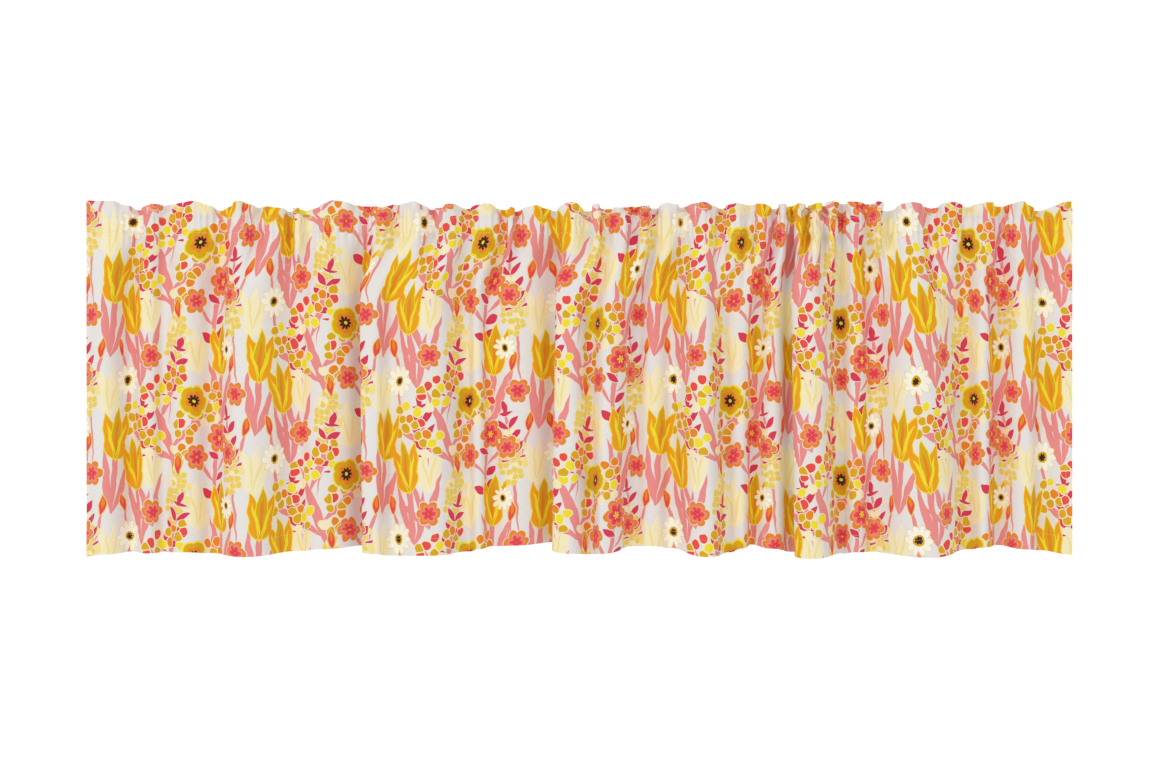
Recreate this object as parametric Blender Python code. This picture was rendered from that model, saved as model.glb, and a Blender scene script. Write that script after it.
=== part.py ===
"""Gathered window valance: one width of printed cotton, hanging in soft uneven folds.

The valance faces -Y and hangs down from the origin, which is the middle of its top edge.
Seen from above, the cloth is a line that swings between crests, towards the room, and
valleys, towards the window. HEADING gives that line where the two gathering rows pinch
it, and FOLDS gives it for the skirt. Between the two, the pinches run out into folds.
"""
from math import radians
from typing import NamedTuple

import bmesh
import bpy
import numpy as np

# Driving sizes in metres: what the cloth was cut to, and what it hangs to
FLAT_WIDTH = 2.500
HUNG_WIDTH = 1.681
DROP = 0.608
THICKNESS = 0.0016

# Down the cloth, in metres from its top edge
FIRST_GATHERING = 0.029
SECOND_GATHERING = 0.054
FOLDS_BEGIN = 0.150

MM = 0.001


class Fold(NamedTuple):
    """One fold of the skirt, left to right, in millimetres from the middle of the valance."""

    crest: float  # place of the crest under the heading
    crest_hem: float  # place of the crest at the hem
    forward: float  # how far the crest comes towards the room
    valley: float  # place of the next valley under the heading
    valley_hem: float  # place of that valley at the hem
    back: float  # how far the valley goes towards the window
    lap: float  # how far the crest's left side laps over the valley before it
    top: float  # its size under the heading, as a share of its size at the hem
    crest_up: float  # how far the hem stands up at the crest
    valley_up: float  # how far the hem stands up at the valley


FOLDS = (
    Fold(-812, -808, 12, -772, -764, 24, 0, 1.0, 6, 9),
    Fold(-738, -736, 0, -709, -712, 20, 0, 0.8, 7, 8),
    Fold(-672, -670, 0, -628, -630, 25, 0, 1.0, 9, 6),
    Fold(-566, -568, 28, -478, -486, 26, 0, 0.9, 3, 9),
    Fold(-438, -442, -3, -366, -362, 38, 0, 0.8, 14, 19),
    Fold(-350, -346, 18, -326, -328, 9, 52, 0.9, 7, 3),
    Fold(-262, -252, 26, -194, -190, 22, 0, 1.0, 5, 9),
    Fold(-178, -172, -2, -158, -150, 26, 0, 0.8, 14, 18),
    Fold(-112, -110, -8, -34, -42, 38, 0, 0.9, 20, 24),
    Fold(-14, -22, 18, 18, 20, 14, 48, 0.9, 8, 5),
    Fold(58, 38, 24, 106, 94, 26, 0, 1.0, 8, 18),
    Fold(126, 124, -8, 158, 154, 26, 0, 0.8, 19, 15),
    Fold(204, 218, 30, 246, 257, 16, 0, 1.0, 3, 8),
    Fold(268, 276, -4, 312, 296, 36, 0, 0.8, 15, 20),
    Fold(332, 330, -2, 358, 364, 30, 0, 1.0, 15, 8),
    Fold(390, 394, 30, 446, 452, 30, 44, 0.9, 0, 5),
    Fold(470, 472, -2, 505, 498, 26, 0, 1.1, 9, 8),
    Fold(562, 594, 32, 662, 668, 32, 0, 1.0, 2, 12),
    Fold(688, 690, -4, 714, 719, 38, 0, 0.9, 17, 19),
    Fold(758, 764, 2, 786, 790, 24, 0, 1.0, 14, 11),
)
HEM_UP_AT_LEFT = 2
HEM_UP_AT_RIGHT = 5


class Pinch(NamedTuple):
    """One pinch of the gathered heading, in millimetres from the middle of the valance."""

    place: float
    back: float  # how far the pinch goes towards the window
    lobe: float  # how far the cloth before the pinch bulges towards the room
    ends: float  # how far down the cloth its creases run
    lobe_down: float  # how far the frill's edge sinks at that bulge
    down: float  # how far the frill's edge sinks at the pinch


HEADING = (
    Pinch(-753, 15, 6, 170, 1, 13),
    Pinch(-708, 10, 6, 130, 6, 6),
    Pinch(-610, 14, 8, 210, 1, 14),
    Pinch(-548, 13, 9, 160, 1, 9),
    Pinch(-494, 15, 7, 150, 10, 16),
    Pinch(-466, 12, 5, 190, 12, 15),
    Pinch(-366, 16, 8, 140, 0, 8),
    Pinch(-312, 12, 6, 170, 11, 5),
    Pinch(-251, 15, 9, 220, 2, 13),
    Pinch(-190, 15, 8, 150, 6, 11),
    Pinch(-128, 15, 8, 180, 4, 15),
    Pinch(-108, 11, 5, 140, 11, 16),
    Pinch(-44, 16, 8, 120, 8, 16),
    Pinch(14, 14, 8, 170, 2, 16),
    Pinch(46, 11, 6, 230, 6, 14),
    Pinch(94, 13, 8, 180, 11, 9),
    Pinch(127, 15, 7, 200, 8, 12),
    Pinch(178, 15, 8, 140, 4, 9),
    Pinch(240, 15, 9, 190, 2, 11),
    Pinch(290, 13, 8, 230, 4, 6),
    Pinch(332, 15, 7, 170, 4, 13),
    Pinch(362, 16, 8, 130, 6, 8),
    Pinch(388, 15, 7, 160, 4, 9),
    Pinch(418, 14, 7, 210, 3, 6),
    Pinch(446, 15, 8, 240, 0, 4),
    Pinch(492, 12, 8, 180, 1, 5),
    Pinch(527, 16, 8, 140, 2, 16),
    Pinch(603, 15, 9, 200, 2, 11),
    Pinch(662, 13, 8, 170, 2, 8),
    Pinch(722, 16, 8, 220, 2, 8),
    Pinch(783, 15, 9, 180, 1, 15),
)
FRILL_DOWN_AT_RIGHT = 1


class Thread(NamedTuple):
    """An upright thread whose place is known in the heading and in the skirt."""

    pinch: int  # the pinch in HEADING that it passes
    fold: int  # the fold in FOLDS whose valley it runs down
    flat: float  # its distance from the left edge of the flat cloth


THREADS = (
    Thread(6, 4, 0.620),
    Thread(12, 8, 1.095),
    Thread(21, 14, 1.735),
)

# Shape of a turn in the line: the crest's and the valley's shares of the way between them
CREST_SHARE = 0.62
VALLEY_SHARE = 0.34
LOBE_SHARE = 0.50
PINCH_SHARE = 0.16
LEAST_REACH = 0.0065  # a turn reaches this far at least, or half the way if that is less
LINE_STEPS = 24

# Depth of the pinches at the frill's edge and between the rows, as a share of that at a row
FRILL_FLARE = 1.25
CHANNEL_DEPTH = 0.88

COLUMNS = 176
ROWS = (0, 0.012, 0.029, 0.041, 0.054, 0.075, 0.100, 0.130, 0.170, 0.220, 0.300, 0.400, 0.500, DROP)
EVEN_SHARE = 0.9
EDGE_ANGLE = radians(50)


def smooth(value, start, end):
    """Run smoothly from 0 at start to 1 at end."""
    share = np.clip((value - start) / (end - start), 0.0, 1.0)
    return share * share * (3.0 - 2.0 * share)


def swing(turns):
    """Draw the line through turns of (x, y, reach before, reach after), and its running length."""
    step = np.arange(LINE_STEPS) / LINE_STEPS
    xs = []
    ys = []
    for (x0, y0, _, reach0), (x1, y1, reach1, _) in zip(turns, turns[1:]):
        xs.append(bezier(x0, x0 + reach0, x1 - reach1, x1, step))
        ys.append(bezier(y0, y0, y1, y1, step))
    xs.append([turns[-1][0]])
    ys.append([turns[-1][1]])
    x = np.concatenate(xs)
    y = np.concatenate(ys)
    length = np.concatenate(([0.0], np.cumsum(np.hypot(np.diff(x), np.diff(y)))))
    return x, y, length


def bezier(start, first, second, end, step):
    """A cubic Bezier value at each step."""
    rest = 1.0 - step
    return rest**3 * start + 3 * rest**2 * step * first + 3 * rest * step**2 * second + step**3 * end


def reach_of(way, share):
    """How far a turn reaches along its way to the next one."""
    return max(way * share, min(LEAST_REACH, way / 2))


def with_reach(places, shares, laps):
    """Add to each place (x, y) its reaches, which are shares of the way to its neighbours."""
    turns = []
    last = len(places) - 1
    for index, (x, y) in enumerate(places):
        before = x - places[index - 1][0] if index else 0.0
        after = places[index + 1][0] - x if index < last else 0.0
        lap = laps[index]
        next_lap = laps[index + 1] if index < last else 0.0
        share = shares[index]
        turns.append((x, y, reach_of(before, share) + lap, reach_of(after, share) + 0.5 * next_lap))
    return turns


def on_flat(line, marks):
    """Give each point of a line its place on the flat cloth, true at the marked points."""
    x, y, length = line
    known = [0.0] + [length[point] for point, _ in marks] + [length[-1]]
    flat = [0.0] + [place for _, place in marks] + [FLAT_WIDTH]
    return np.interp(length, known, flat), x, y


def skirt_line(level):
    """The line of the skirt, from level 0 under the heading to level 1 at the hem."""
    half = HUNG_WIDTH / 2
    places = [(-half, 0.0)]
    shares = [VALLEY_SHARE]
    laps = [0.0]
    for fold in FOLDS:
        crest = fold.crest + (fold.crest_hem - fold.crest) * level
        valley = fold.valley + (fold.valley_hem - fold.valley) * level
        size = (fold.top + (1.0 - fold.top) * level) * MM
        places += [(crest * MM, -fold.forward * size), (valley * MM, fold.back * size)]
        shares += [CREST_SHARE, VALLEY_SHARE]
        laps += [fold.lap * MM, 0.0]
    places.append((half, 0.0))
    shares.append(CREST_SHARE)
    laps.append(0.0)
    marks = [((2 + 2 * thread.fold) * LINE_STEPS, thread.flat) for thread in THREADS]
    return on_flat(swing(with_reach(places, shares, laps)), marks)


def heading_line():
    """The line along a gathering row."""
    half = HUNG_WIDTH / 2
    places = [(-half, 0.0)]
    shares = [VALLEY_SHARE]
    left = -half
    for pinch in HEADING:
        place = pinch.place * MM
        places += [((left + place) / 2, -pinch.lobe * MM), (place, pinch.back * MM)]
        shares += [LOBE_SHARE, PINCH_SHARE]
        left = place
    places.append((half, 0.0))
    shares.append(LOBE_SHARE)
    marks = [((2 + 2 * thread.pinch) * LINE_STEPS, thread.flat) for thread in THREADS]
    return on_flat(swing(with_reach(places, shares, [0.0] * len(places))), marks)


def pinch_ends(columns):
    """How far down the cloth the pinches' creases run, at each column."""
    flat, x, _ = heading_line()
    places = np.interp([pinch.place * MM for pinch in HEADING], x, flat)
    return np.interp(columns, places, [pinch.ends * MM for pinch in HEADING])


def through_turns(columns, line, heights):
    """Swing through heights in millimetres, one for each turn of a line, at each column."""
    turns = line[0][::LINE_STEPS]
    turn = np.interp(columns, turns, np.arange(len(turns)))
    before = np.minimum(turn.astype(int), len(turns) - 2)
    eased = before + smooth(turn - before, 0.0, 1.0)
    return np.interp(eased, np.arange(len(turns)), heights) * MM


def frill_dip(columns):
    """How far the frill's edge lies below the valance's highest point, at each column."""
    downs = [0]
    for pinch in HEADING:
        downs += [pinch.lobe_down, pinch.down]
    return through_turns(columns, heading_line(), downs + [FRILL_DOWN_AT_RIGHT])


def hem_rise(columns):
    """How far the hem stands up from the valance's lowest point, at each column."""
    ups = [HEM_UP_AT_LEFT]
    for fold in FOLDS:
        ups += [fold.crest_up, fold.valley_up]
    return through_turns(columns, skirt_line(1.0), ups + [HEM_UP_AT_RIGHT])


def pinch_depth(down):
    """How deep the pinches are at a distance down the cloth, next to those at a row."""
    if down < FIRST_GATHERING:
        return FRILL_FLARE + (1.0 - FRILL_FLARE) * smooth(down, 0.0, FIRST_GATHERING)
    if down < SECOND_GATHERING:
        middle = (down - FIRST_GATHERING) / (SECOND_GATHERING - FIRST_GATHERING)
        return 1.0 - (1.0 - CHANNEL_DEPTH) * np.sin(np.pi * middle)
    return 1.0


def cloth_row(columns, down):
    """The points of the cloth's middle surface at a distance down, one for each column."""
    flat, x, y = heading_line()
    heading_x = np.interp(columns, flat, x)
    heading_y = np.interp(columns, flat, y)
    level = np.clip((down - SECOND_GATHERING) / (DROP - SECOND_GATHERING), 0.0, 1.0)
    flat, x, y = skirt_line(level)
    skirt_x = np.interp(columns, flat, x)
    skirt_y = np.interp(columns, flat, y)
    share = smooth(down, SECOND_GATHERING, pinch_ends(columns))
    across = heading_x + (skirt_x - heading_x) * share
    depth = heading_y * pinch_depth(down) * np.cos(share * np.pi / 2) + skirt_y * np.sin(share * np.pi / 2)
    dip = frill_dip(columns) * (1.0 - smooth(down, 0.0, FIRST_GATHERING))
    rise = hem_rise(columns) * smooth(down, FOLDS_BEGIN, DROP)
    height = rise - dip - down
    return np.stack((across, depth, height), axis=1)


def columns_by_turning():
    """Places across the flat cloth, closer together where the heading or the skirt turns."""
    places = np.linspace(0.0, FLAT_WIDTH, 2001)
    turning = EVEN_SHARE * places / FLAT_WIDTH
    for flat, x, y in (heading_line(), skirt_line(1.0)):
        angle = np.unwrap(np.arctan2(np.gradient(y), np.gradient(x)))
        turned = np.concatenate(([0.0], np.cumsum(np.abs(np.diff(angle)))))
        turning = turning + np.interp(places, flat, turned / turned[-1])
    return np.interp(np.linspace(0.0, turning[-1], COLUMNS + 1), turning, places)


def sheet_normals(points):
    """Unit normals of a grid of points, towards the room."""
    down, across = np.gradient(points, axis=0), np.gradient(points, axis=1)
    normals = np.cross(down, across)
    return normals / np.linalg.norm(normals, axis=2, keepdims=True)


def close_sheet(bm, front, back):
    """Face both sides of a sheet and join them round its four edges."""
    rows = len(front)
    columns = len(front[0])
    for row in range(rows - 1):
        for column in range(columns - 1):
            corners = ((row, column), (row + 1, column), (row + 1, column + 1), (row, column + 1))
            bm.faces.new([front[r][c] for r, c in corners])
            bm.faces.new([back[r][c] for r, c in reversed(corners)])
    rim = [(0, c) for c in range(columns)] + [(r, columns - 1) for r in range(1, rows)]
    rim += [(rows - 1, c) for c in range(columns - 2, -1, -1)] + [(r, 0) for r in range(rows - 2, 0, -1)]
    for (r0, c0), (r1, c1) in zip(rim, rim[1:] + rim[:1]):
        bm.faces.new((front[r0][c0], front[r1][c1], back[r1][c1], back[r0][c0]))


def cotton():
    """Printed cotton, at the average of its ground and its print."""
    material = bpy.data.materials.new("printed_cotton")
    material.use_nodes = True
    shader = material.node_tree.nodes["Principled BSDF"]
    shader.inputs["Base Color"].default_value = (0.72, 0.50, 0.36, 1.0)
    shader.inputs["Roughness"].default_value = 0.85
    shader.inputs["Metallic"].default_value = 0.0
    return material


def valance_cloth():
    """The whole valance as one closed sheet."""
    columns = columns_by_turning()
    middle = np.array([cloth_row(columns, down) for down in ROWS])
    offset = sheet_normals(middle) * (THICKNESS / 2)
    bm = bmesh.new()
    front = [[bm.verts.new(point) for point in row] for row in middle + offset]
    back = [[bm.verts.new(point) for point in row] for row in middle - offset]
    close_sheet(bm, front, back)
    mesh = bpy.data.meshes.new("valance_cloth")
    bm.to_mesh(mesh)
    bm.free()
    mesh.shade_smooth()
    mesh.set_sharp_from_angle(angle=EDGE_ANGLE)
    cloth = bpy.data.objects.new("valance_cloth", mesh)
    cloth.data.materials.append(cotton())
    bpy.context.scene.collection.objects.link(cloth)
    return cloth


for old in list(bpy.data.objects):
    bpy.data.objects.remove(old)
valance_cloth()
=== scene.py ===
"""The looks of a gathered window valance: printed cotton in soft uneven folds."""
import math
from typing import NamedTuple

import bpy
import numpy as np
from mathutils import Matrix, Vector, noise


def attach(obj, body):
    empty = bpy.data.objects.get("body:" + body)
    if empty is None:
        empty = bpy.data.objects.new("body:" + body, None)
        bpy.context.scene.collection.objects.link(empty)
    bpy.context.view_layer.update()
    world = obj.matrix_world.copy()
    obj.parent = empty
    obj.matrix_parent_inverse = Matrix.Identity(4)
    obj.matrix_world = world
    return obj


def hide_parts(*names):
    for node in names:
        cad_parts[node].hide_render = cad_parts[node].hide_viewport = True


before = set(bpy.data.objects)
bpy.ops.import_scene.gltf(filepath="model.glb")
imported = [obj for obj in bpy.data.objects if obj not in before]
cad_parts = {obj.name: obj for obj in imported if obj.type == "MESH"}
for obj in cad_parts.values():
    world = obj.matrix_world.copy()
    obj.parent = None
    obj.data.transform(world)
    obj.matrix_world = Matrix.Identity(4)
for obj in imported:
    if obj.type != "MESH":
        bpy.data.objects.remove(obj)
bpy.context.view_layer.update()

# The cloth: one width of cotton, finished 2.50 m wide, that hangs 0.61 m down from its frill.
# Two rows of gathering pinch it below a standing frill, and the pinches run out into the
# broad folds of the skirt. Side hems, bottom hem and heading are turned under and stitched.
FLAT_WIDTH = 2.500
HUNG_WIDTH = 1.681
DROP = 0.608
FIRST_GATHERING = 0.029
SECOND_GATHERING = 0.054
FOLDS_BEGIN = 0.150
MM = 0.001


class Fold(NamedTuple):
    """One fold of the skirt, in millimetres from the middle: its crest, then its valley."""

    crest: float
    crest_hem: float
    forward: float
    valley: float
    valley_hem: float
    back: float
    lap: float  # how far the crest's left side laps over the valley before it
    top: float  # its size under the heading, as a share of its size at the hem
    crest_up: float  # how far the hem stands up at the crest
    valley_up: float  # how far the hem stands up at the valley


FOLDS = (
    Fold(-812, -808, 12, -772, -764, 24, 0, 1.0, 6, 9),
    Fold(-738, -736, 0, -709, -712, 20, 0, 0.8, 7, 8),
    Fold(-672, -670, 0, -628, -630, 25, 0, 1.0, 9, 6),
    Fold(-566, -568, 28, -478, -486, 26, 0, 0.9, 3, 9),
    Fold(-438, -442, -3, -366, -362, 38, 0, 0.8, 14, 19),
    Fold(-350, -346, 18, -326, -328, 9, 52, 0.9, 7, 3),
    Fold(-262, -252, 26, -194, -190, 22, 0, 1.0, 5, 9),
    Fold(-178, -172, -2, -158, -150, 26, 0, 0.8, 14, 18),
    Fold(-112, -110, -8, -34, -42, 38, 0, 0.9, 20, 24),
    Fold(-14, -22, 18, 18, 20, 14, 48, 0.9, 8, 5),
    Fold(58, 38, 24, 106, 94, 26, 0, 1.0, 8, 18),
    Fold(126, 124, -8, 158, 154, 26, 0, 0.8, 19, 15),
    Fold(204, 218, 30, 246, 257, 16, 0, 1.0, 3, 8),
    Fold(268, 276, -4, 312, 296, 36, 0, 0.8, 15, 20),
    Fold(332, 330, -2, 358, 364, 30, 0, 1.0, 15, 8),
    Fold(390, 394, 30, 446, 452, 30, 44, 0.9, 0, 5),
    Fold(470, 472, -2, 505, 498, 26, 0, 1.1, 9, 8),
    Fold(562, 594, 32, 662, 668, 32, 0, 1.0, 2, 12),
    Fold(688, 690, -4, 714, 719, 38, 0, 0.9, 17, 19),
    Fold(758, 764, 2, 786, 790, 24, 0, 1.0, 14, 11),
)
HEM_UP_AT_LEFT = 2
HEM_UP_AT_RIGHT = 5


class Pinch(NamedTuple):
    """One pinch of the gathered heading, in millimetres from the middle of the valance."""

    place: float
    back: float
    lobe: float
    ends: float  # how far down the cloth its creases run
    lobe_down: float  # how far the frill's edge sinks at that bulge
    down: float  # how far the frill's edge sinks at the pinch


HEADING = (
    Pinch(-753, 15, 6, 170, 1, 13),
    Pinch(-708, 10, 6, 130, 6, 6),
    Pinch(-610, 14, 8, 210, 1, 14),
    Pinch(-548, 13, 9, 160, 1, 9),
    Pinch(-494, 15, 7, 150, 10, 16),
    Pinch(-466, 12, 5, 190, 12, 15),
    Pinch(-366, 16, 8, 140, 0, 8),
    Pinch(-312, 12, 6, 170, 11, 5),
    Pinch(-251, 15, 9, 220, 2, 13),
    Pinch(-190, 15, 8, 150, 6, 11),
    Pinch(-128, 15, 8, 180, 4, 15),
    Pinch(-108, 11, 5, 140, 11, 16),
    Pinch(-44, 16, 8, 120, 8, 16),
    Pinch(14, 14, 8, 170, 2, 16),
    Pinch(46, 11, 6, 230, 6, 14),
    Pinch(94, 13, 8, 180, 11, 9),
    Pinch(127, 15, 7, 200, 8, 12),
    Pinch(178, 15, 8, 140, 4, 9),
    Pinch(240, 15, 9, 190, 2, 11),
    Pinch(290, 13, 8, 230, 4, 6),
    Pinch(332, 15, 7, 170, 4, 13),
    Pinch(362, 16, 8, 130, 6, 8),
    Pinch(388, 15, 7, 160, 4, 9),
    Pinch(418, 14, 7, 210, 3, 6),
    Pinch(446, 15, 8, 240, 0, 4),
    Pinch(492, 12, 8, 180, 1, 5),
    Pinch(527, 16, 8, 140, 2, 16),
    Pinch(603, 15, 9, 200, 2, 11),
    Pinch(662, 13, 8, 170, 2, 8),
    Pinch(722, 16, 8, 220, 2, 8),
    Pinch(783, 15, 9, 180, 1, 15),
)
FRILL_DOWN_AT_RIGHT = 1


class Thread(NamedTuple):
    """An upright thread: the pinch that it passes, the fold whose valley it runs down, its place."""

    pinch: int
    fold: int
    flat: float


THREADS = (
    Thread(6, 4, 0.620),
    Thread(12, 8, 1.095),
    Thread(21, 14, 1.735),
)

CREST_SHARE = 0.62
VALLEY_SHARE = 0.34
LOBE_SHARE = 0.50
PINCH_SHARE = 0.16
LEAST_REACH = 0.0065  # a turn reaches this far at least, or half the way if that is less
LINE_STEPS = 48
FRILL_FLARE = 1.25
CHANNEL_DEPTH = 0.88


def smooth(value, start, end):
    """Run smoothly from 0 at start to 1 at end."""
    share = np.clip((value - start) / (end - start), 0.0, 1.0)
    return share * share * (3.0 - 2.0 * share)


def bezier(start, first, second, end, step):
    """A cubic Bezier value at each step."""
    rest = 1.0 - step
    return rest**3 * start + 3 * rest**2 * step * first + 3 * rest * step**2 * second + step**3 * end


def reach_of(way, share):
    """How far a turn reaches along its way to the next one."""
    return max(way * share, min(LEAST_REACH, way / 2))


def line_on_flat(places, shares, laps, marks):
    """Swing a line through its turns, and give each of its points its place on the flat cloth."""
    step = np.arange(LINE_STEPS) / LINE_STEPS
    xs = []
    ys = []
    for index in range(len(places) - 1):
        (x0, y0), (x1, y1) = places[index], places[index + 1]
        way = x1 - x0
        first = x0 + reach_of(way, shares[index]) + 0.5 * laps[index + 1]
        second = x1 - reach_of(way, shares[index + 1]) - laps[index + 1]
        xs.append(bezier(x0, first, second, x1, step))
        ys.append(bezier(y0, y0, y1, y1, step))
    x = np.append(np.concatenate(xs), places[-1][0])
    y = np.append(np.concatenate(ys), places[-1][1])
    length = np.append(0.0, np.cumsum(np.hypot(np.diff(x), np.diff(y))))
    known = [0.0] + [length[turn * LINE_STEPS] for turn, _ in marks] + [length[-1]]
    flat = [0.0] + [place for _, place in marks] + [FLAT_WIDTH]
    return np.interp(length, known, flat), x, y


def skirt_line(level):
    """The line of the skirt seen from above, from level 0 under the heading to 1 at the hem."""
    places = [(-HUNG_WIDTH / 2, 0.0)]
    laps = [0.0]
    for fold in FOLDS:
        crest = fold.crest + (fold.crest_hem - fold.crest) * level
        valley = fold.valley + (fold.valley_hem - fold.valley) * level
        size = (fold.top + (1.0 - fold.top) * level) * MM
        places += [(crest * MM, -fold.forward * size), (valley * MM, fold.back * size)]
        laps += [fold.lap * MM, 0.0]
    places.append((HUNG_WIDTH / 2, 0.0))
    laps.append(0.0)
    shares = [VALLEY_SHARE] + [CREST_SHARE, VALLEY_SHARE] * len(FOLDS) + [CREST_SHARE]
    marks = [(2 + 2 * thread.fold, thread.flat) for thread in THREADS]
    return line_on_flat(places, shares, laps, marks)


def heading_line():
    """The line along a gathering row, seen from above."""
    places = [(-HUNG_WIDTH / 2, 0.0)]
    for pinch in HEADING:
        place = pinch.place * MM
        places += [((places[-1][0] + place) / 2, -pinch.lobe * MM), (place, pinch.back * MM)]
    places.append((HUNG_WIDTH / 2, 0.0))
    shares = [VALLEY_SHARE] + [LOBE_SHARE, PINCH_SHARE] * len(HEADING) + [LOBE_SHARE]
    marks = [(2 + 2 * thread.pinch, thread.flat) for thread in THREADS]
    return line_on_flat(places, shares, [0.0] * len(places), marks)


def through_turns(across, line, heights):
    """Swing through heights in millimetres, one for each turn of a line."""
    turns = line[0][::LINE_STEPS]
    turn = np.interp(across, turns, np.arange(len(turns)))
    before = np.minimum(turn.astype(int), len(turns) - 2)
    eased = before + smooth(turn - before, 0.0, 1.0)
    return np.interp(eased, np.arange(len(turns)), heights) * MM


def frill_dip(across):
    """How far the frill's edge lies below the valance's highest point."""
    downs = [0]
    for pinch in HEADING:
        downs += [pinch.lobe_down, pinch.down]
    return through_turns(across, HEADING_ROW, downs + [FRILL_DOWN_AT_RIGHT])


def hem_rise(across):
    """How far the hem stands up from the valance's lowest point."""
    ups = [HEM_UP_AT_LEFT]
    for fold in FOLDS:
        ups += [fold.crest_up, fold.valley_up]
    return through_turns(across, skirt_line(1.0), ups + [HEM_UP_AT_RIGHT])


def pinch_depth(down):
    """How deep the pinches are at a distance down the cloth, next to those at a row."""
    if down < FIRST_GATHERING:
        return FRILL_FLARE + (1.0 - FRILL_FLARE) * smooth(down, 0.0, FIRST_GATHERING)
    if down < SECOND_GATHERING:
        middle = (down - FIRST_GATHERING) / (SECOND_GATHERING - FIRST_GATHERING)
        return 1.0 - (1.0 - CHANNEL_DEPTH) * math.sin(math.pi * middle)
    return 1.0


HEADING_ROW = heading_line()
PINCH_FLAT = np.interp([pinch.place * MM for pinch in HEADING], HEADING_ROW[1], HEADING_ROW[0])


def cloth_row(across, down):
    """Points of the folds at a distance down the cloth, for places across the flat cloth."""
    flat, x, y = HEADING_ROW
    heading_x = np.interp(across, flat, x)
    heading_y = np.interp(across, flat, y)
    level = min(max((down - SECOND_GATHERING) / (DROP - SECOND_GATHERING), 0.0), 1.0)
    flat, x, y = skirt_line(level)
    skirt_x = np.interp(across, flat, x)
    skirt_y = np.interp(across, flat, y)
    ends = np.interp(across, PINCH_FLAT, [pinch.ends * MM for pinch in HEADING])
    share = smooth(down, SECOND_GATHERING, ends)
    hung = heading_x + (skirt_x - heading_x) * share
    turn = share * np.pi / 2
    depth = heading_y * pinch_depth(down) * np.cos(turn) + skirt_y * np.sin(turn)
    dip = frill_dip(across) * (1.0 - smooth(down, 0.0, FIRST_GATHERING))
    rise = hem_rise(across) * smooth(down, FOLDS_BEGIN, DROP)
    return np.stack((hung, depth, rise - dip - down), axis=1)


# The sheet's rows, in millimetres down the flat cloth
COLUMNS = 1050
FRILL_ROWS = (0, 2, 6, 10, 14, 18, 22, 25, 27, 29)
CHANNEL_ROWS = (31, 34, 38, 42, 46, 50, 52, 54)
PINCHED_ROWS = (56, 59, 63, 68, 74, 81, 90, 101, 114, 130, 150)
SKIRT_ROWS = (174, 202, 234, 268, 304, 340, 376, 412, 448, 484, 518, 548, 570)
HEM_ROWS = (579, 581, 594, 605, 608)
DOWN = np.array(FRILL_ROWS + CHANNEL_ROWS + PINCHED_ROWS + SKIRT_ROWS + HEM_ROWS) * MM
ACROSS = np.linspace(0.0, FLAT_WIDTH, COLUMNS + 1)
COTTON = 0.0005
HEM_COTTON = 0.0010
HEADING_TURNED = 0.059
HEM_TURNED = 0.579
SIDE_TURNED = 0.0115


class Crease(NamedTuple):
    """One long crease of the skirt, in millimetres of the hung cloth."""

    x: float
    down: float
    x_end: float
    down_end: float
    deep: float  # a ridge where it is negative
    wide: float


CREASES = (
    Crease(-712, 118, -718, 560, 2.0, 7),
    Crease(-655, 250, -640, 520, 1.2, 11),
    Crease(-560, 60, -590, 210, -1.2, 8),
    Crease(-505, 64, -470, 260, 1.4, 8),
    Crease(-300, 300, -310, 560, -1.3, 10),
    Crease(-198, 42, -192, 160, 2.0, 6),
    Crease(-140, 180, -120, 420, 1.1, 12),
    Crease(-70, 70, -40, 330, 1.5, 9),
    Crease(18, 20, 16, 350, 2.0, 6),
    Crease(105, 215, 90, 390, 1.6, 8),
    Crease(161, 130, 158, 430, 2.0, 7),
    Crease(199, 14, 202, 162, 2.2, 6),
    Crease(311, 82, 291, 490, 2.0, 7),
    Crease(350, 90, 366, 320, -1.2, 8),
    Crease(451, 58, 452, 595, 1.6, 7),
    Crease(523, 7, 520, 110, 2.0, 6),
    Crease(566, 130, 596, 400, -1.1, 14),
    Crease(662, 340, 678, 600, 1.8, 8),
    Crease(693, 55, 712, 270, 1.8, 7),
    Crease(758, 210, 764, 520, -1.0, 9),
)
GATHER_LENGTH = 0.0125
GATHER_HEIGHT = 0.0018
GATHER_FADE = 0.012
THREAD_GROOVE = 0.0009
THREAD_REACH = 0.0022
PINCH_CREASE_LEAN = (0.10, 0.34)
PINCH_CREASE_REACH = (0.030, 0.085)
PINCH_CREASE_DEEP = (2.2, 4.0)  # millimetres, at a pinch of the usual depth
USUAL_PINCH = 14
RUFFLE_LENGTH = 0.036
RUFFLE_HEIGHT = 0.0030
FRILL_UNEVEN = 0.0022
FRILL_UNEVEN_LENGTH = 0.016
CRUMPLED_FROM = 0.335
CRUMPLED_TO = 0.462
CRUMPLED_EDGE = 0.02
CRUMPLE_HEIGHT = 0.0054
CRUMPLE_LENGTH = 0.014
CRUMPLE_FADES = 0.045
CRUMPLE_ENDS = 0.100
SWELL_HEIGHT = 0.0016
SWELL_LENGTH = 0.085
RUMPLE_HEIGHT = 0.0010
RUMPLE_LENGTH = 0.024


def wander(across, down, length, seed):
    """Smooth chance values from -1 to 1 over the cloth, that change over a length."""
    values = [[noise.noise(Vector((a / length, d / length, seed))) for a in across] for d in down]
    return np.array(values)


def bump_round(distance, wide):
    """A soft round profile of height 1."""
    return np.exp(-((distance / wide) ** 2))


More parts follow.
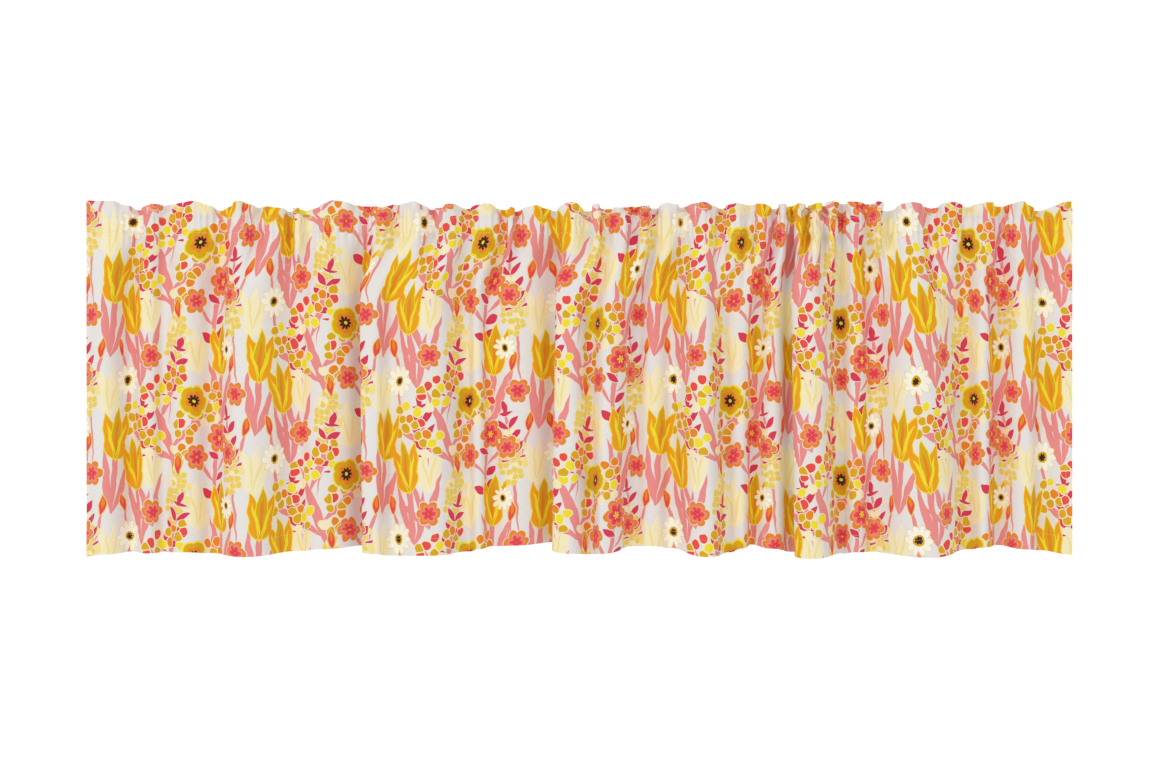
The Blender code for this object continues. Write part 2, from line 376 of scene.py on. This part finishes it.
def gathering(across, down):
    """The small gathers that the two threads draw up, and the groove of each thread."""
    stray = wander(across, (0.0,), length=0.045, seed=3.1)[0]
    strength = 0.75 + 0.6 * wander(across, (0.0,), length=0.030, seed=5.7)[0]
    wave = np.sin(2 * np.pi * across / GATHER_LENGTH + 5.0 * stray) * strength
    relief = np.zeros((len(down), len(across)))
    for row in (FIRST_GATHERING, SECOND_GATHERING):
        away = np.abs(down - row)[:, None]
        relief += GATHER_HEIGHT * np.exp(-away / GATHER_FADE) * wave
        relief -= THREAD_GROOVE * bump_round(away, THREAD_REACH)
    return relief


def pinch_creases(across, down):
    """Short creases that fan out from each pinch, down into the skirt and up into the frill."""
    chance = np.random.default_rng(12)
    relief = np.zeros((len(down), len(across)))
    for pinch, flat in zip(HEADING, PINCH_FLAT):
        for side in (-1.0, 0.2, 1.0):
            lean = side * chance.uniform(*PINCH_CREASE_LEAN)
            reach = chance.uniform(*PINCH_CREASE_REACH)
            deep = chance.uniform(*PINCH_CREASE_DEEP) * MM * pinch.back / USUAL_PINCH
            start = flat + side * chance.uniform(0.003, 0.008)
            below = np.clip(down - SECOND_GATHERING, 0.0, None)
            share = np.clip(below / reach, 0.0, 1.0)
            line = start + lean * below
            wide = 0.0028 + 0.0040 * share
            fade = (1.0 - share) ** 1.3 * np.clip(below / 0.004, 0.0, 1.0)
            relief -= deep * fade[:, None] * bump_round(across - line[:, None], wide[:, None])
            above = np.clip(FIRST_GATHERING - down, 0.0, None)
            line = start + 0.5 * lean * above
            fade = np.clip(above / 0.004, 0.0, 1.0) * (1.0 - above / FIRST_GATHERING * 0.55)
            relief -= 0.7 * deep * fade[:, None] * bump_round(across - line[:, None], 0.0036)
    return relief


def long_creases(hung, down):
    """The long soft troughs and ridges of the skirt."""
    relief = np.zeros(hung.shape)
    for crease in CREASES:
        share = np.clip((down / MM - crease.down) / (crease.down_end - crease.down), 0.0, 1.0)
        line = (crease.x + (crease.x_end - crease.x) * share) * MM
        fade = np.sqrt(np.sin(np.pi * share))
        relief -= crease.deep * MM * fade[:, None] * bump_round(hung - line[:, None], crease.wide * MM)
    return relief


def sheet_normals(points):
    """Unit normals of a grid of points, towards the room."""
    normals = np.cross(np.gradient(points, axis=0), np.gradient(points, axis=1))
    return normals / np.linalg.norm(normals, axis=2, keepdims=True).clip(1e-9)


middle = np.array([cloth_row(ACROSS, down) for down in DOWN])
hung = middle[:, :, 0]
below_frill = smooth(DOWN, 0.0, FIRST_GATHERING)[:, None]
crumpled = smooth(hung, CRUMPLED_FROM - CRUMPLED_EDGE, CRUMPLED_FROM + CRUMPLED_EDGE)
crumpled = crumpled * (1.0 - smooth(hung, CRUMPLED_TO - CRUMPLED_EDGE, CRUMPLED_TO + CRUMPLED_EDGE))
crumpled = crumpled * (1.0 - smooth(DOWN, CRUMPLE_FADES, CRUMPLE_ENDS))[:, None]
stray = wander(ACROSS, (0.0,), length=0.09, seed=8.3)[0]
ruffle = np.sin(2 * np.pi * ACROSS / RUFFLE_LENGTH + 4.0 * stray)
below_pinches = smooth(DOWN, 0.060, 0.160)[:, None]
relief = (
    gathering(ACROSS, DOWN)
    + pinch_creases(ACROSS, DOWN)
    + long_creases(hung, DOWN)
    + RUFFLE_HEIGHT * (1.0 - below_frill) * ruffle
    + CRUMPLE_HEIGHT * crumpled * wander(ACROSS, DOWN, CRUMPLE_LENGTH, seed=1.9)
    + SWELL_HEIGHT * below_pinches * wander(ACROSS, DOWN, SWELL_LENGTH, seed=4.4)
    + RUMPLE_HEIGHT * wander(ACROSS, DOWN, RUMPLE_LENGTH, seed=6.2)
)
normals = sheet_normals(middle)
front = middle + normals * relief[:, :, None]
frill_wander = wander(ACROSS, (0.0,), FRILL_UNEVEN_LENGTH, seed=2.7)
front[:, :, 2] += FRILL_UNEVEN * (1.0 - below_frill) * frill_wander
normals = sheet_normals(front)
turned_over = (DOWN < HEADING_TURNED) | (DOWN > HEM_TURNED)
turned_in = (ACROSS < SIDE_TURNED) | (ACROSS > FLAT_WIDTH - SIDE_TURNED)
thickness = np.where(turned_over[:, None] | turned_in[None, :], HEM_COTTON, COTTON)
back = front - normals * thickness[:, :, None]

rows, columns = hung.shape
grid = np.arange(rows * columns).reshape(rows, columns)
corners = np.stack((grid[:-1, :-1], grid[1:, :-1], grid[1:, 1:], grid[:-1, 1:]), axis=-1).reshape(-1, 4)
rim = np.concatenate((grid[0, :-1], grid[:-1, -1], grid[-1, :0:-1], grid[:0:-1, 0]))
rim_next = np.roll(rim, -1)
count = rows * columns
rim_faces = np.stack((rim, rim_next, rim_next + count, rim + count), axis=-1)
faces = np.concatenate((corners, corners[:, ::-1] + count, rim_faces))
points = np.concatenate((front.reshape(-1, 3), back.reshape(-1, 3)))
mesh = bpy.data.meshes.new("valance")
mesh.from_pydata(points.tolist(), [], faces.tolist())
mesh.shade_smooth()
mesh.set_sharp_from_angle(angle=math.radians(60))
cloth = bpy.data.objects.new("valance", mesh)
bpy.context.scene.collection.objects.link(cloth)

# Where each corner lies on the flat cloth. On the back of a hem the print comes round its edge.
flat_grid = np.stack(np.meshgrid(ACROSS, -DOWN), axis=-1).reshape(-1, 2)
front_flat = flat_grid[corners]
middle_flat = front_flat.mean(axis=1)
back_flat = front_flat[:, ::-1].copy()
over_top = middle_flat[:, 1] > -HEADING_TURNED
over_hem = middle_flat[:, 1] < -HEM_TURNED
over_left = middle_flat[:, 0] < SIDE_TURNED
over_right = middle_flat[:, 0] > FLAT_WIDTH - SIDE_TURNED
back_flat[over_top, :, 1] *= -1.0
back_flat[over_hem, :, 1] = -2 * DROP - back_flat[over_hem, :, 1]
back_flat[over_left, :, 0] *= -1.0
back_flat[over_right, :, 0] = 2 * FLAT_WIDTH - back_flat[over_right, :, 0]
rim_flat = flat_grid[np.stack((rim, rim_next, rim_next, rim), axis=-1)]
cloth_map = mesh.uv_layers.new(name="cloth")
cloth_map.data.foreach_set("uv", np.concatenate((front_flat, back_flat, rim_flat)).ravel())
turned = over_top | over_hem | over_left | over_right
is_wrong_side = np.concatenate((np.zeros(len(corners)), ~turned, np.zeros(len(rim))))
wrong_side = mesh.attributes.new("wrong_side", "FLOAT", "FACE")
wrong_side.data.foreach_set("value", is_wrong_side)

# The unfolding that the finish is baked on: the front in two strips, the back in one and
# the rim in a thin one.
MARGIN = 0.005
FRONT_STRIP = 0.355
BACK_STRIP = 0.235
RIM_STRIP = 0.012
HALF = FLAT_WIDTH / 2
bake_front = np.empty_like(front_flat)
second_half = (middle_flat[:, 0] > HALF)[:, None]
strip_top = 1 - MARGIN - (FRONT_STRIP + MARGIN) * second_half
bake_front[:, :, 0] = MARGIN + (front_flat[:, :, 0] - HALF * second_half) / HALF * (1 - 2 * MARGIN)
bake_front[:, :, 1] = strip_top + front_flat[:, :, 1] / DROP * FRONT_STRIP
bake_back = np.empty_like(back_flat)
bake_back[:, :, 0] = MARGIN + front_flat[:, ::-1, 0] / FLAT_WIDTH * (1 - 2 * MARGIN)
bake_back[:, :, 1] = 2 * MARGIN + RIM_STRIP + BACK_STRIP + front_flat[:, ::-1, 1] / DROP * BACK_STRIP
along = np.arange(len(rim)) / len(rim) * (1 - 2 * MARGIN) + MARGIN
along_next = along + (1 - 2 * MARGIN) / len(rim)
low = np.full(len(rim), MARGIN)
high = low + RIM_STRIP
bake_rim = np.stack((along, low, along_next, low, along_next, high, along, high), axis=-1)
bake_rim = bake_rim.reshape(-1, 4, 2)
bake_map = mesh.uv_layers.new(name="OFBake")
bake_map.data.foreach_set("uv", np.concatenate((bake_front, bake_back, bake_rim)).ravel())

# The print: an all-over meadow of tulips, berries, blossoms and leaves on an off-white
# ground, screened ink by ink on plain woven cotton, so that it shows pale on the back.
cotton = bpy.data.materials.new("printed cotton")
cotton.use_nodes = True
nodes = cotton.node_tree.nodes
links = cotton.node_tree.links


class Wire:
    """A socket of the cloth's shader. An expression on wires adds its Math nodes."""

    def __init__(self, socket):
        self.socket = socket

    @staticmethod
    def node(kind, settings=None, values=None, output=0):
        """Add a node: its settings first, then the values or links of its sockets."""
        made = nodes.new(kind)
        for name, value in (settings or {}).items():
            if name == "stops":
                Wire.set_stops(made.color_ramp, value)
            else:
                setattr(made, name, value)
        for place, value in (values or {}).items():
            if isinstance(value, Wire):
                links.new(value.socket, made.inputs[place])
            else:
                made.inputs[place].default_value = value
        return Wire(made.outputs[output])

    @staticmethod
    def set_stops(ramp, stops):
        """Set a ramp's stops, which start plain bands of colour."""
        ramp.interpolation = "CONSTANT"
        while len(ramp.elements) < len(stops):
            ramp.elements.new(1.0)
        for element, (place, ink) in zip(ramp.elements, stops):
            element.position = place
            element.color = ink

    @staticmethod
    def maths(operation, *terms):
        return Wire.node("ShaderNodeMath", {"operation": operation}, dict(enumerate(terms)))

    def other(self, output):
        """Another output of the same node."""
        return Wire(self.socket.node.outputs[output])

    def times_plus(self, share, start):
        """The value times a share, plus a start."""
        return Wire.maths("MULTIPLY_ADD", self, share, start)

    def __add__(self, term):
        return Wire.maths("ADD", self, term)

    __radd__ = __add__

    def __sub__(self, term):
        return Wire.maths("SUBTRACT", self, term)

    def __rsub__(self, term):
        return Wire.maths("SUBTRACT", term, self)

    def __mul__(self, term):
        return Wire.maths("MULTIPLY", self, term)

    __rmul__ = __mul__

    def __lt__(self, term):
        return Wire.maths("LESS_THAN", self, term)

    def __gt__(self, term):
        return Wire.maths("GREATER_THAN", self, term)

    def __abs__(self):
        return Wire.maths("ABSOLUTE", self)


def vector_maths(operation, *terms, output=0):
    """Vector Math on wires and plain vectors."""
    return Wire.node("ShaderNodeVectorMath", {"operation": operation}, dict(enumerate(terms)), output)


def mix(share, under, over):
    """Lay one colour over another."""
    return Wire.node("ShaderNodeMix", {"data_type": "RGBA"}, {0: share, 6: under, 7: over}).other(2)


def dye(*screen):
    """An ink from its red, green and blue as a screen shows them, 0 to 255."""
    linear = [((value / 255 + 0.055) / 1.055) ** 2.4 for value in screen]
    return (*linear, 1.0)


GROUND = dye(234, 230, 226)
CREAM = dye(248, 236, 196)
WHITE = dye(252, 247, 228)
PALE_STRAW = dye(246, 226, 146)
STRAW = dye(238, 208, 98)
PINK = dye(238, 144, 140)
CRIMSON = dye(222, 58, 84)
CORAL = dye(238, 78, 74)
ORANGE = dye(236, 138, 34)
AMBER = dye(240, 164, 26)
MUSTARD = dye(222, 172, 20)
YELLOW = dye(244, 224, 44)
BROWN = dye(64, 34, 28)

# The repeat, in millimetres of the flat cloth. Each column stands half a repeat lower than the last.
REPEAT_WIDTH = 336.0
REPEAT_HEIGHT = 272.0
HALF_DROP = REPEAT_HEIGHT / 2 / REPEAT_WIDTH
HAND_WAVER = 7.5

flat = vector_maths("MULTIPLY", Wire.node("ShaderNodeUVMap", {"uv_map": "cloth"}), (1000.0, 1000.0, 0.0))
on_plane = {"noise_dimensions": "2D"}
waver = Wire.node("ShaderNodeTexNoise", on_plane, {"Vector": flat, "Scale": 0.04, "Detail": 0.6}, 1)
waver = vector_maths("SUBTRACT", waver, (0.5, 0.5, 0.5))
drawn = vector_maths("MULTIPLY_ADD", waver, (HAND_WAVER, HAND_WAVER, 0.0), flat)
drawn_x = vector_maths("DOT_PRODUCT", drawn, (1.0, 0.0, 0.0), output=1)
drawn_y = vector_maths("DOT_PRODUCT", drawn, (HALF_DROP, 1.0, 0.0), output=1)


class Root(NamedTuple):
    """Where a motif stands in the repeat, in millimetres, and its turn to the left in degrees."""

    x: float
    y: float
    turn: float = 0.0


class Place:
    """The flat cloth seen from a point of a motif."""

    def __init__(self, x, y, point):
        self.x = x
        self.y = y
        self.point = point

    def at(self, x, y, turn=0.0):
        """The cloth seen from another point of the motif."""
        way = math.radians(self.point.turn)
        left = self.point.x + x * math.cos(way) - y * math.sin(way)
        low = self.point.y + x * math.sin(way) + y * math.cos(way)
        return Place(self.x, self.y, Root(left, low, self.point.turn + turn))

    def measure(self, across, up):
        """How far across and up the cloth lies, each times its share, as one value."""
        way = math.radians(self.point.turn)
        by_x = across * math.cos(way) - up * math.sin(way)
        by_y = across * math.sin(way) + up * math.cos(way)
        result = -(self.point.x * by_x + self.point.y * by_y)
        for value, share in ((self.x, by_x), (self.y, by_y)):
            if share:
                result = value.times_plus(share, result)
        return result

    def vector(self):
        return Wire.node("ShaderNodeCombineXYZ", {}, {0: self.measure(1, 0), 1: self.measure(0, 1)})


def growing(root):
    """The cloth seen from a motif that repeats all over it."""
    half = REPEAT_WIDTH / 2
    x = Wire.maths("WRAP", drawn_x - root.x, half, -half)
    half = REPEAT_HEIGHT / 2
    y = Wire.maths("WRAP", drawn_y - (root.y + root.x * HALF_DROP), half, -half)
    return Place(x, x.times_plus(-HALF_DROP, y), Root(0.0, 0.0, root.turn))


def lens(along, across, wide, bend=0.0):
    """A shape with two points, from the share of its length and the distance from its middle line."""
    square = along * along
    if bend:
        across = square.times_plus(-bend, across)
    return along.times_plus(-2.0 * wide, square.times_plus(2.0 * wide, abs(across)))


def leaf(place, long, wide, bend=0.0):
    """A pointed leaf, stem or petal that grows up from the place."""
    return lens(place.measure(0, 1 / long), place.measure(1, 0), wide, bend)


def leaf_pair(place, lean, long, wide):
    """Two leaves that grow up and lean out from the place, one to each side."""
    side = abs(place.measure(1, 0))
    up = place.measure(0, 1)
    cosine = math.cos(math.radians(lean))
    sine = math.sin(math.radians(lean))
    along = up.times_plus(cosine / long, side * (sine / long))
    return lens(along, up.times_plus(-sine, side * cosine), wide)


def ladder(place, lean, long, wide, step, reach):
    """Leaf pairs at every step up and down a stem."""
    side = abs(place.measure(1, 0))
    up = place.measure(0, 1)
    rung = Wire.maths("WRAP", up, step / 2, -step / 2)
    cosine = math.cos(math.radians(lean))
    sine = math.sin(math.radians(lean))
    start = 0.4 * step
    along = rung.times_plus(cosine / long, side.times_plus(sine / long, start * cosine / long))
    across = rung.times_plus(-sine, side.times_plus(cosine, -start * sine))
    return Wire.maths("MAXIMUM", lens(along, across, wide), abs(up) - reach)


def spot(place, radius):
    return vector_maths("LENGTH", place.vector(), output=1) - radius


def petals(place, radius, number, notch, turn=0.0):
    """An open flower of round petals, notched between them by a share of its radius."""
    x = place.measure(1, 0)
    y = place.measure(0, 1)
    wave = abs(Wire.maths("COSINE", Wire.maths("ARCTAN2", y, x).times_plus(number / 2, turn)))
    away = vector_maths("LENGTH", Wire.node("ShaderNodeCombineXYZ", {}, {0: x, 1: y}), output=1)
    return Wire.maths("POWER", wave, 0.6).times_plus(-notch * radius, away - (1 - notch) * radius)


def union(shapes):
    """The union of shapes, made one by one."""
    shapes = iter(shapes)
    result = next(shapes)
    for shape in shapes:
        result = Wire.maths("MINIMUM", result, shape)
    return result


def berries(place, region, size, gap, full):
    """Packed round berries whose middles lie in the region, and their chance values."""
    settings = {"voronoi_dimensions": "2D", "feature": "F1"}
    values = {"Vector": place.vector(), "Scale": 1 / size, "Randomness": 0.5}
    near = Wire.node("ShaderNodeTexVoronoi", settings, values)
    edge = Wire.node("ShaderNodeTexVoronoi", settings | {"feature": "DISTANCE_TO_EDGE"}, values)
    round_ones = Wire.maths("MAXIMUM", edge.times_plus(-size, gap), near.times_plus(size, -full * size))
    chance = vector_maths("DOT_PRODUCT", near.other("Color"), (1.0, 0.0, 0.0), output=1)
    return Wire.maths("MAXIMUM", round_ones, region(near.other("Position"))), chance


def screen(cloth, shape, ink, outline=None, wide=1.6):
    """Print a shape in an ink over the cloth, with a paler outline."""
    if outline:
        cloth = mix(shape < wide, cloth, outline)
    return mix(shape < 0.0, cloth, ink)


def bands(shape, wide, *stops):
    """The inks of a flower from its edge, at 1, to its middle, each from its own share."""
    stops = {"stops": stops}
    return Wire.node("ShaderNodeValToRGB", stops, {0: shape.times_plus(1 / wide, 1.0 - 2.0 / wide)})


# Pale tulips behind the rest
pale = [growing(root) for root in (Root(248, -26, 5), Root(46, 176, -6), Root(152, 44, 3))]


def pale_flowers():
    for flower in pale:
        yield leaf(flower, long=88, wide=20)
        yield leaf_pair(flower, lean=17, long=80, wide=19)
        yield spot(flower.at(0, 22), 20)


print_colour = mix(union(pale_flowers()) < 0.0, GROUND, CREAM)
streaks = union(leaf_pair(flower.at(0, 8), lean=12, long=62, wide=4.4) for flower in pale)
print_colour = screen(print_colour, streaks, PALE_STRAW)

# Stems, grass and the branch, in pink
ears = [growing(root) for root in (Root(8, 170, 6), Root(196, -24, -8))]
tulips = [growing(root) for root in (Root(58, 100, -5), Root(112, 46, 9), Root(300, -26, -3))]
tufts = [growing(root) for root in (Root(300, 160), Root(150, -20, 8))]
leafy = [growing(root) for root in (Root(334, 132, 12), Root(200, 250, -16), Root(140, 150, 10))]
BUD_ROOTS = (Root(80, 6, 14), Root(30, 4, -12), Root(212, 72, 8), Root(336, 250, -10))
buds = [growing(root) for root in BUD_ROOTS]
branch = growing(Root(184, 142))
spray = growing(Root(286, 78))
poppy = growing(Root(240, 200))
daisy = growing(Root(90, 236))


def stems():
    for ear in ears:
        yield leaf(ear.at(0, -90), long=160, wide=5, bend=6)
    for tulip in tulips:
        foot = tulip.at(0, -96)
        yield leaf(foot, long=150, wide=12)
        yield leaf(foot.at(0, 0, 17), long=116, wide=14, bend=12)
        yield leaf(foot.at(0, 0, -25), long=96, wide=14, bend=-12)
    yield leaf(branch.at(32, -96, 19), long=190, wide=18, bend=-12)
    yield leaf(branch.at(14, -50, 56), long=130, wide=15, bend=-10)
    yield leaf(branch.at(6, -26, -50), long=136, wide=15, bend=10)
    yield leaf(branch.at(-14, 30, -24), long=96, wide=13, bend=8)
    for tuft in tufts:
        yield leaf(tuft.at(0, 0, -14), long=100, wide=12, bend=12)
        yield leaf(tuft.at(0, 0, 10), long=116, wide=11, bend=-10)
        yield leaf(tuft.at(0, 0, 36), long=72, wide=9, bend=-8)
    yield leaf(spray.at(-6, -60), long=140, wide=9, bend=12)
    yield leaf(spray.at(-4, -20, 42), long=80, wide=7.5, bend=4)
    yield leaf(spray.at(0, 0, -50), long=76, wide=7.5, bend=-4)
    yield leaf(poppy.at(-8, -100, -4), long=130, wide=7.5)
    yield leaf(daisy.at(6, -76, 6), long=110, wide=7)
    for stem in leafy:
        yield leaf(stem.at(0, -60), long=130, wide=7)
    for bud in buds:
        yield leaf(bud.at(0, -46), long=64, wide=6, bend=3)


print_colour = screen(print_colour, union(stems()), PINK, GROUND, 1.4)

# Ears of straw-coloured florets


def ear_region(middle):
    along = vector_maths("DOT_PRODUCT", middle, (0.0, 1 / 124, 0.0), output=1)
    return lens(along, vector_maths("DOT_PRODUCT", middle, (1.0, 0.0, 0.0), output=1), 48)


for ear in ears:
    florets, chance = berries(ear, ear_region, size=10.5, gap=0.6, full=0.48)
    print_colour = screen(print_colour, florets, mix(chance > 0.72, STRAW, CREAM), PALE_STRAW, 1.2)


# Crimson leaves
def leaves():
    yield leaf(spray.at(-4, -48, 58), long=30, wide=14)
    yield leaf(spray.at(-4, -40, -56), long=32, wide=14)
    yield leaf(spray.at(-1, -16, -54), long=28, wide=13)
    yield leaf(spray.at(4, 20, 56), long=26, wide=12)
    for stem in leafy:
        yield ladder(stem, lean=50, long=28, wide=11, step=24, reach=44)
        yield leaf(stem.at(0, 38), long=28, wide=11)


print_colour = screen(print_colour, union(leaves()), CRIMSON, GROUND, 1.3)

# Berries on the branch, mostly mustard. Each cluster has its place and its radius, in
# millimetres, seen from a place that leans with the boughs.
CLUSTERS = (
    (-61, 56, 31),
    (14, 77, 33),
    (100, 19, 35),
    (42, -4, 25),
    (-36, 7, 24),
    (68, 79, 25),
    (19, -41, 21),
)


def cluster_region(middle):
    return union(
        vector_maths("DISTANCE", middle, (x, y, 0.0), output=1) - size for x, y, size in CLUSTERS
    )


fruit, chance = berries(branch.at(0, 0, 24), cluster_region, size=18.0, gap=1.0, full=0.43)
ripeness = Wire.node(
    "ShaderNodeValToRGB",
    {"stops": ((0.0, CORAL), (0.12, ORANGE), (0.34, YELLOW), (0.46, MUSTARD))},
    {0: chance},
)
print_colour = screen(print_colour, fruit, ripeness, CREAM, 1.5)

# Blossoms in rings of coral and orange
BLOSSOMS = (
    (spray.at(8, 58), 27),
    (spray.at(-42, 24), 23),
    (spray.at(44, 34), 21),
    (growing(Root(12, 78)), 22),
    (growing(Root(150, 8)), 22),
)
flowers = union(petals(place, radius, number=6, notch=0.34) for place, radius in BLOSSOMS)
BLOSSOM_RINGS = (
    (0.0, YELLOW),
    (0.10, CRIMSON),
    (0.30, CORAL),
    (0.52, PINK),
    (0.66, ORANGE),
    (0.92, GROUND),
)
rings = bands(flowers, 25.0, *BLOSSOM_RINGS)
print_colour = mix(flowers < 1.6, print_colour, rings)


# Tulips: three petals, streaked
def cups():
    for tulip in tulips:
        yield leaf_pair(tulip.at(0, -2), lean=17, long=84, wide=21)
        yield spot(tulip.at(0, 21), 21.5)


print_colour = screen(print_colour, union(cups()), AMBER, YELLOW, 1.8)
front_petals = union(leaf(tulip.at(0, -2), long=90, wide=21) for tulip in tulips)
print_colour = screen(print_colour, front_petals, MUSTARD, YELLOW, 2.0)
folds_of_petals = union(leaf(tulip.at(0, 8), long=62, wide=7) for tulip in tulips)
print_colour = screen(print_colour, folds_of_petals, ORANGE)
streaks = union(leaf_pair(tulip.at(0, 4), lean=20, long=62, wide=6) for tulip in tulips)
print_colour = screen(print_colour, streaks, YELLOW)

# Buds and the poppy
bud_shapes = union(leaf(bud, long=34, wide=12) for bud in buds)
print_colour = screen(print_colour, bud_shapes, CORAL, STRAW, 1.8)
bud_middles = union(leaf(bud.at(0, 12), long=20, wide=6) for bud in buds)
print_colour = screen(print_colour, bud_middles, ORANGE)
flowers = petals(poppy, radius=29, number=5, notch=0.2, turn=0.5)
rings = bands(flowers, 20.0, (0.0, ORANGE), (0.30, MUSTARD), (0.76, YELLOW), (0.92, GROUND))
print_colour = mix(flowers < 1.6, print_colour, rings)
print_colour = screen(print_colour, petals(poppy, radius=11.5, number=9, notch=0.5), BROWN)
print_colour = screen(print_colour, spot(poppy, 3.0), YELLOW)

# Daisies with brown middles
DAISIES = ((daisy, 27), (growing(Root(322, 20)), 21))
flowers = union(petals(place, radius, number=10, notch=0.55) for place, radius in DAISIES)
print_colour = screen(print_colour, flowers, WHITE, STRAW, 1.3)
discs = union(spot(place, 0.34 * radius) for place, radius in DAISIES)
print_colour = screen(print_colour, discs, MUSTARD)
middles = union(petals(place, 0.24 * radius, number=7, notch=0.4) for place, radius in DAISIES)
print_colour = screen(print_colour, middles, BROWN)

# Sewing thread along the gathering rows and the hems, as short stitches
STITCH = 4.4
THREAD_WIDE = 0.18
THREAD = dye(232, 216, 200)
across = vector_maths("DOT_PRODUCT", flat, (1.0, 0.0, 0.0), output=1)
down = vector_maths("DOT_PRODUCT", flat, (0.0, -1.0, 0.0), output=1)
level_rows = union(abs(down - row / MM) for row in (FIRST_GATHERING, SECOND_GATHERING, HEM_TURNED))
level_dashes = abs(Wire.maths("WRAP", across, STITCH / 2, -STITCH / 2)) - 0.34 * STITCH
side_rows = abs(abs(across - HALF / MM) - (HALF - SIDE_TURNED) / MM)
side_dashes = abs(Wire.maths("WRAP", down, STITCH / 2, -STITCH / 2)) - 0.34 * STITCH
stitches = Wire.maths(
    "MINIMUM",
    Wire.maths("MAXIMUM", level_rows - THREAD_WIDE, level_dashes),
    Wire.maths("MAXIMUM", side_rows - THREAD_WIDE, side_dashes),
)
print_colour = screen(print_colour, stitches, THREAD)

# The weave: warp and weft threads that thicken and thin, with painted shade that darkens the cloth where
# they lie low
BACK_PALENESS = 0.62
BACK_GROUND = dye(238, 233, 226)
warp = vector_maths("MULTIPLY", flat, (1.7, 0.10, 0.0))
warp = Wire.node("ShaderNodeTexNoise", on_plane, {"Vector": warp, "Scale": 1.0, "Detail": 1.0})
weft = vector_maths("MULTIPLY", flat, (0.09, 1.5, 0.0))
weft = Wire.node("ShaderNodeTexNoise", on_plane, {"Vector": weft, "Scale": 1.0, "Detail": 1.0})
threads = warp + weft
pale_back = Wire.node("ShaderNodeAttribute", {"attribute_name": "wrong_side"}, output=2) * BACK_PALENESS
cloth_colour = mix(pale_back, print_colour, BACK_GROUND)
# Painted shade: the colour is a little darker where the weave lies low and full where it stands high.
painted_weave_shade = threads.times_plus(0.10, 0.90)
scale = {"operation": "SCALE"}
cloth_colour = Wire.node("ShaderNodeVectorMath", scale, {0: cloth_colour, "Scale": painted_weave_shade})
bump = Wire.node("ShaderNodeBump", {}, {"Strength": 0.22, "Distance": 0.00025, "Height": threads})
shader = nodes["Principled BSDF"]
links.new(cloth_colour.socket, shader.inputs["Base Color"])
links.new(bump.socket, shader.inputs["Normal"])
links.new(threads.times_plus(0.08, 0.80).socket, shader.inputs["Roughness"])
shader.inputs["Specular IOR Level"].default_value = 0.25
shader.inputs["Sheen Weight"].default_value = 0.08
mesh.materials.append(cotton)

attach(cloth, "root")
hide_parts("valance_cloth")

# The studio: a plain pale floor well below, a white room, a broad soft light from the
# left and a weaker one from the right.
FLOOR_LEVEL = -1.35
FLOOR_REACH = 3.0
FLOOR_BEHIND = 1.0
floor_mesh = bpy.data.meshes.new("floor")
floor_mesh.from_pydata(
    [
        (-FLOOR_REACH, -FLOOR_REACH, FLOOR_LEVEL),
        (FLOOR_REACH, -FLOOR_REACH, FLOOR_LEVEL),
        (FLOOR_REACH, FLOOR_BEHIND, FLOOR_LEVEL),
        (-FLOOR_REACH, FLOOR_BEHIND, FLOOR_LEVEL),
    ],
    [],
    [(0, 1, 2, 3)],
)
floor = bpy.data.objects.new("floor", floor_mesh)
bpy.context.scene.collection.objects.link(floor)
paint = bpy.data.materials.new("pale floor")
paint.use_nodes = True
coat = paint.node_tree.nodes["Principled BSDF"]
coat.inputs["Base Color"].default_value = (0.86, 0.86, 0.86, 1)
coat.inputs["Roughness"].default_value = 0.9
floor_mesh.materials.append(paint)


def aim(thing, target):
    """Turn a camera or a light towards a point."""
    thing.rotation_euler = (Vector(target) - thing.location).to_track_quat("-Z", "Y").to_euler()


for name, place, size, watts in (
    ("key", (-5.4, -6.8, 2.4), 2.6, 168),
    ("fill", (4.0, -7.2, 0.6), 4.0, 78),
):
    lamp = bpy.data.lights.new(name, "AREA")
    lamp.size = size
    lamp.energy = watts
    light = bpy.data.objects.new(name, lamp)
    light.location = place
    bpy.context.scene.collection.objects.link(light)
    aim(light, (0.0, 0.0, -0.3))

# The room is a little darker for the cloth than it looks to the camera.
ROOM_LIGHT = 0.71
ROOM_SEEN = 1.05
world = bpy.data.worlds.new("white room")
bpy.context.scene.world = world
world.use_nodes = True
sky = world.node_tree.nodes["Background"]
rays = world.node_tree.nodes.new("ShaderNodeLightPath")
strength = world.node_tree.nodes.new("ShaderNodeMath")
strength.operation = "MULTIPLY_ADD"
strength.inputs[1].default_value = ROOM_SEEN - ROOM_LIGHT
strength.inputs[2].default_value = ROOM_LIGHT
world.node_tree.links.new(rays.outputs["Is Camera Ray"], strength.inputs[0])
world.node_tree.links.new(strength.outputs[0], sky.inputs["Strength"])
sky.inputs["Color"].default_value = (1.0, 1.0, 1.0, 1.0)

# The camera: straight on and far off, so that the sides of the valance stay upright.
PIXELS_ACROSS = 1160
PIXEL = 0.001705
CAMERA_BACK = 4.0
SENSOR = 36.0
VIEW_MIDDLE = (0.001, 0.0, -0.317)
eye = bpy.data.cameras.new("camera")
eye.sensor_width = SENSOR
eye.lens = SENSOR * CAMERA_BACK / (PIXELS_ACROSS * PIXEL)
camera = bpy.data.objects.new("camera", eye)
camera.location = (VIEW_MIDDLE[0], -CAMERA_BACK, VIEW_MIDDLE[2])
bpy.context.scene.collection.objects.link(camera)
aim(camera, VIEW_MIDDLE)
bpy.context.scene.camera = camera
bpy.context.scene.view_settings.view_transform = "Standard"
